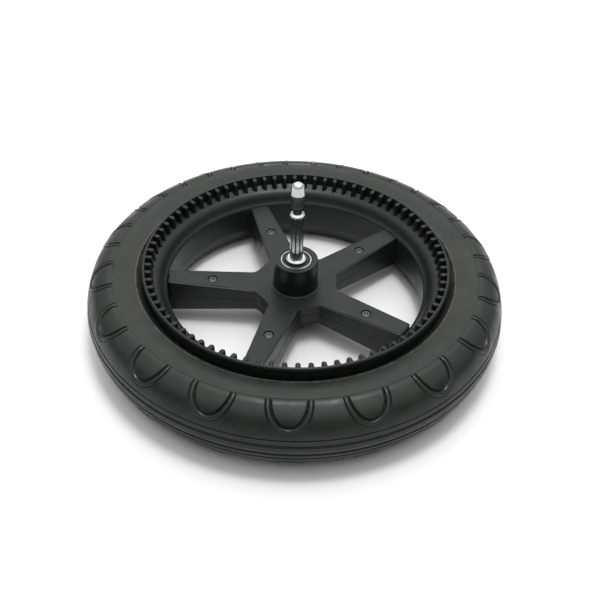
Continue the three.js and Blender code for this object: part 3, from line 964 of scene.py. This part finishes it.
def race(side, middle, half, far_r, land):
    """Closed outline of a ring with a ball groove. side is 1 for the outer ring, -1 for the inner.
    far_r is its face away from the balls, and land is its face beside the groove."""
    edge, step = (SEAL_R, SEAL_STEP) if side == 1 else (land - INNER_STEP, INNER_STEP)
    opening = math.acos(abs(land - BALL_PITCH_R) / GROOVE_R)
    groove = []
    for t in np.linspace(-opening, opening, 9):
        r = BALL_PITCH_R + side * GROOVE_R * math.cos(t)
        groove.append((r, middle + GROOVE_R * math.sin(t)))
    chamfer = 0.3
    ends = [
        (land, middle + half - step),
        (edge, middle + half - step + 0.05),
        (edge + side * 0.07, middle + half),
        (far_r - side * chamfer, middle + half),
        (far_r, middle + half - chamfer),
        (far_r, middle - half + chamfer),
        (far_r - side * chamfer, middle - half),
        (edge + side * 0.07, middle - half),
        (edge, middle - half + step - 0.05),
        (land, middle - half + step),
    ]
    return groove + ends


def build_ball(turn, middle):
    """A ball at an angle round the axis."""
    centre = (BALL_PITCH_R * math.cos(turn), BALL_PITCH_R * math.sin(turn))
    turns = np.linspace(0, np.pi, 13)
    arc = [(BALL_R * math.sin(t), middle - BALL_R * math.cos(t)) for t in turns]
    arc[-1] = (0, arc[-1][1])
    return lathe(arc, 24, centre)


def add_bearing(prefix, ball_body):
    """Both rings, both seals and the balls. The cage keeps its CAD mesh."""
    outer, inner = f"{prefix}_outer_ring", f"{prefix}_inner_ring"
    low, high = height(outer, 0), height(outer, 1)
    middle, half = (low + high) / 2, (high - low) / 2
    outer_race = lathe(race(1, middle, half, radius(outer), OUTER_LAND_R))
    add_piece(f"{prefix}_outer_race", outer_race, "wheel", "bearing_steel", [outer])
    inner_race = lathe(race(-1, middle, half, INNER_BORE_R, INNER_LAND_R))
    add_piece(f"{prefix}_inner_race", inner_race, "axle_set", "bearing_steel", [inner])
    for end, direction in (("upper", 1), ("lower", -1)):
        node = f"{prefix}_{end}_seal"
        face = height(node, 1 if direction == 1 else 0)
        outline = [(r, face - direction * depth) for r, depth in SEAL_SECTION]
        add_piece(f"{prefix}_{end}_lip_seal", lathe(outline), "wheel", "seal_rubber", [node])
    for k in range(BALLS):
        ball = build_ball(2 * math.pi * k / BALLS, middle)
        node = f"{prefix}_ball_{k + 1}"
        add_piece(f"{prefix}_steel_ball_{k + 1}", ball, ball_body, "bearing_steel", [node])


add_bearing("brake_side_bearing", "brake_side_ball_set")
add_bearing("outer_side_bearing", "outer_side_ball_set")

# ---------------------------------------------------------------- axle, collar and hub cap


def build_axle():
    """Shaft with a clip groove, a bright flare, a latch groove and a tapered tip."""
    tip, low = height("axle", 1), height("axle", 0)
    flare, neck_low, neck_top, cone = tip - 24.7, tip - 23.1, tip - 17.5, tip - 7.7
    clip = height("axle_clip", 1)
    outline = round_corners(
        [
            (0, low, 0),
            (SHAFT_R, low, 0.5),
            (SHAFT_R, clip - 0.9, 0),
            (CLIP_GROOVE_R, clip - 0.9, 0),
            (CLIP_GROOVE_R, clip + 0.1, 0),
            (SHAFT_R, clip + 0.1, 0),
            (SHAFT_R, flare - 0.7, 0.6),
            (FLARE_R, flare - 0.3, 0.5),
            (FLARE_R, flare + 0.5, 0.4),
            (NECK_R, neck_low, 0.4),
            (NECK_R, neck_top, 0.3),
            (4.8, neck_top + 0.3, 0.3),
            (4.76, cone - 0.3, 0.1),
            (4.92, cone + 0.1, 0.2),
            (3.95, tip - 1.4, 1.2),
            (2.5, tip, 0.8),
            (0, tip, 0),
        ],
        closed=False,
        steps=5,
    )
    return lathe(outline)


def build_collar():
    """Ring with a domed upper side, which the frame's socket stops on."""
    low, high = height("axle_collar", 0), height("axle_collar", 1)
    outline = round_corners(
        [
            (COLLAR_BORE_R, low, 0),
            (COLLAR_R, low, 0.35),
            (COLLAR_R, low + 1.1, 0.6),
            (COLLAR_R - 1.4, high, 0.9),
            (COLLAR_BORE_R, high, 0.15),
        ],
        closed=True,
        steps=8,
    )
    return lathe(outline)


def build_hub_cap():
    """Shallow moulded cap with a stepped rim over the lower end of the hub."""
    low, high = height("hub_cap", 0), height("hub_cap", 1)
    outline = round_corners(
        [
            (0, low, 0),
            (9.5, low + 0.1, 0.4),
            (10.1, low + 0.5, 0.4),
            (13.2, low + 0.5, 1),
            (16.8, low + 1.3, 1.5),
            (CAP_R, low + 3.4, 1),
            (CAP_R, high, 0.3),
            (HUB_R + 0.25, high, 0),
            (HUB_R + 0.25, low + 4.3, 0),
            (14.6, low + 4.3, 0),
            (14, low + 2.5, 0),
            (0, low + 1.7, 0),
        ],
        closed=False,
    )
    return lathe(outline)


add_piece("push_in_axle", build_axle(), "axle_set", "chrome", ["axle"])
add_piece("domed_collar", build_collar(), "axle_set", "chrome", ["axle_collar"])
add_piece("moulded_hub_cap", build_hub_cap(), "wheel", "cap_plastic", ["hub_cap"])

# ---------------------------------------------------------------- finishes of the CAD nodes
# The cages, the spacer, the washer and the clip have no piece of their own and show as they are.
slots = {part["node"]: part["material_slot"] for part in frame["record"]["subparts"]}
for name, node in frame["nodes"].items():
    node.data.materials.clear()
    node.data.materials.append(FINISHES[slots[name]])

# ---------------------------------------------------------------- floor, light and camera
# These sizes and places are in metres.
FLOOR_HALF = 6.0
SOFTBOX_PLACE = (0.1, 0.1, 1.6)
SOFTBOX_SIZE = 0.4
SOFTBOX_POWER = 12
WORLD_STRENGTH = 1.75
WORLD_SLANT = (0.0, 0.2, 0.55)  # the world's light grows with the height, and a little to the back
WORLD_SHIFT = 0.3
WORLD_STEPS = ((0.1, 0.08), (0.8, 1.0), (0.55, 0.22))  # place on that scale, and brightness
CAMERA_DISTANCE = 0.5836  # from the middle of the wheel
CAMERA_ELEVATION = math.radians(41.03)
CAMERA_YAW, CAMERA_PITCH, CAMERA_ROLL = 0.00613, -0.01453, 0.0329  # away from the wheel's middle
CAMERA_LENS = 48.293  # millimetres, on a sensor of 36


def add_floor():
    """A pale square floor under the wheel."""
    mesh = bpy.data.meshes.new("floor")
    corners = [(-1, -1), (1, -1), (1, 1), (-1, 1)]
    mesh.from_pydata([(x * FLOOR_HALF, y * FLOOR_HALF, 0) for x, y in corners], [], [(0, 1, 2, 3)])
    f = Finish("floor_paint", (0.8, 0.8, 0.8), 0.35, specular=0.3)
    f.vary_roughness(f.spread(f.noise(60, 3), 0.3, 0.7, 0.3, 0.42))
    mesh.materials.append(f.material)
    floor = bpy.data.objects.new("floor", mesh)
    bpy.context.scene.collection.objects.link(floor)


def add_softbox():
    """A square light above the wheel, turned to it."""
    light = bpy.data.lights.new("top_softbox", "AREA")
    light.shape = "RECTANGLE"
    light.size = light.size_y = SOFTBOX_SIZE
    light.energy = SOFTBOX_POWER
    holder = bpy.data.objects.new("top_softbox", light)
    holder.location = SOFTBOX_PLACE
    holder.rotation_euler = (-Vector(SOFTBOX_PLACE)).to_track_quat("-Z", "Y").to_euler()
    bpy.context.scene.collection.objects.link(holder)


def grey(value):
    return (value, value, value, 1)


def add_world():
    """A studio that is light above and behind the wheel, and dark low down in front of it."""
    world = bpy.data.worlds.new("studio")
    world.use_nodes = True
    nodes, links = world.node_tree.nodes, world.node_tree.links
    slant = nodes.new("ShaderNodeVectorMath")
    slant.operation = "DOT_PRODUCT"
    slant.inputs[1].default_value = WORLD_SLANT
    links.new(nodes.new("ShaderNodeTexCoord").outputs["Generated"], slant.inputs[0])
    shift = nodes.new("ShaderNodeMath")
    shift.inputs[1].default_value = WORLD_SHIFT
    links.new(slant.outputs["Value"], shift.inputs[0])
    ramp = nodes.new("ShaderNodeValToRGB")
    links.new(shift.outputs[0], ramp.inputs["Fac"])
    steps = ramp.color_ramp.elements
    dark, light, middle = WORLD_STEPS
    steps[0].position, steps[1].position = dark[0], light[0]
    steps[0].color, steps[1].color = grey(dark[1]), grey(light[1])
    steps.new(middle[0]).color = grey(middle[1])
    background = nodes["Background"]
    links.new(ramp.outputs["Color"], background.inputs["Color"])
    background.inputs["Strength"].default_value = WORLD_STRENGTH
    bpy.context.scene.world = world


def add_camera():
    """Looks down at the wheel from the front, with the angles and the lens fitted to the photo."""
    place = CAMERA_DISTANCE * Vector((0, -math.cos(CAMERA_ELEVATION), math.sin(CAMERA_ELEVATION)))
    ahead = -place.normalized()
    right = Vector((1, 0, 0))
    up = right.cross(ahead)
    ahead = (ahead + right * math.tan(CAMERA_YAW) + up * math.tan(CAMERA_PITCH)).normalized()
    right = ahead.cross(Vector((0, 0, 1))).normalized()
    up = right.cross(ahead)
    turned = right * math.cos(CAMERA_ROLL) + up * math.sin(CAMERA_ROLL)
    upright = up * math.cos(CAMERA_ROLL) - right * math.sin(CAMERA_ROLL)
    lens = bpy.data.cameras.new("camera")
    lens.sensor_width = 36
    lens.lens = CAMERA_LENS
    camera = bpy.data.objects.new("camera", lens)
    axes = Matrix((turned, upright, -ahead)).transposed().to_4x4()
    camera.matrix_world = Matrix.Translation(place + Vector((0, 0, MIDDLE))) @ axes
    bpy.context.scene.collection.objects.link(camera)
    bpy.context.scene.camera = camera


add_floor()
add_world()
add_softbox()
add_camera()
bpy.context.scene.view_settings.view_transform = "Standard"
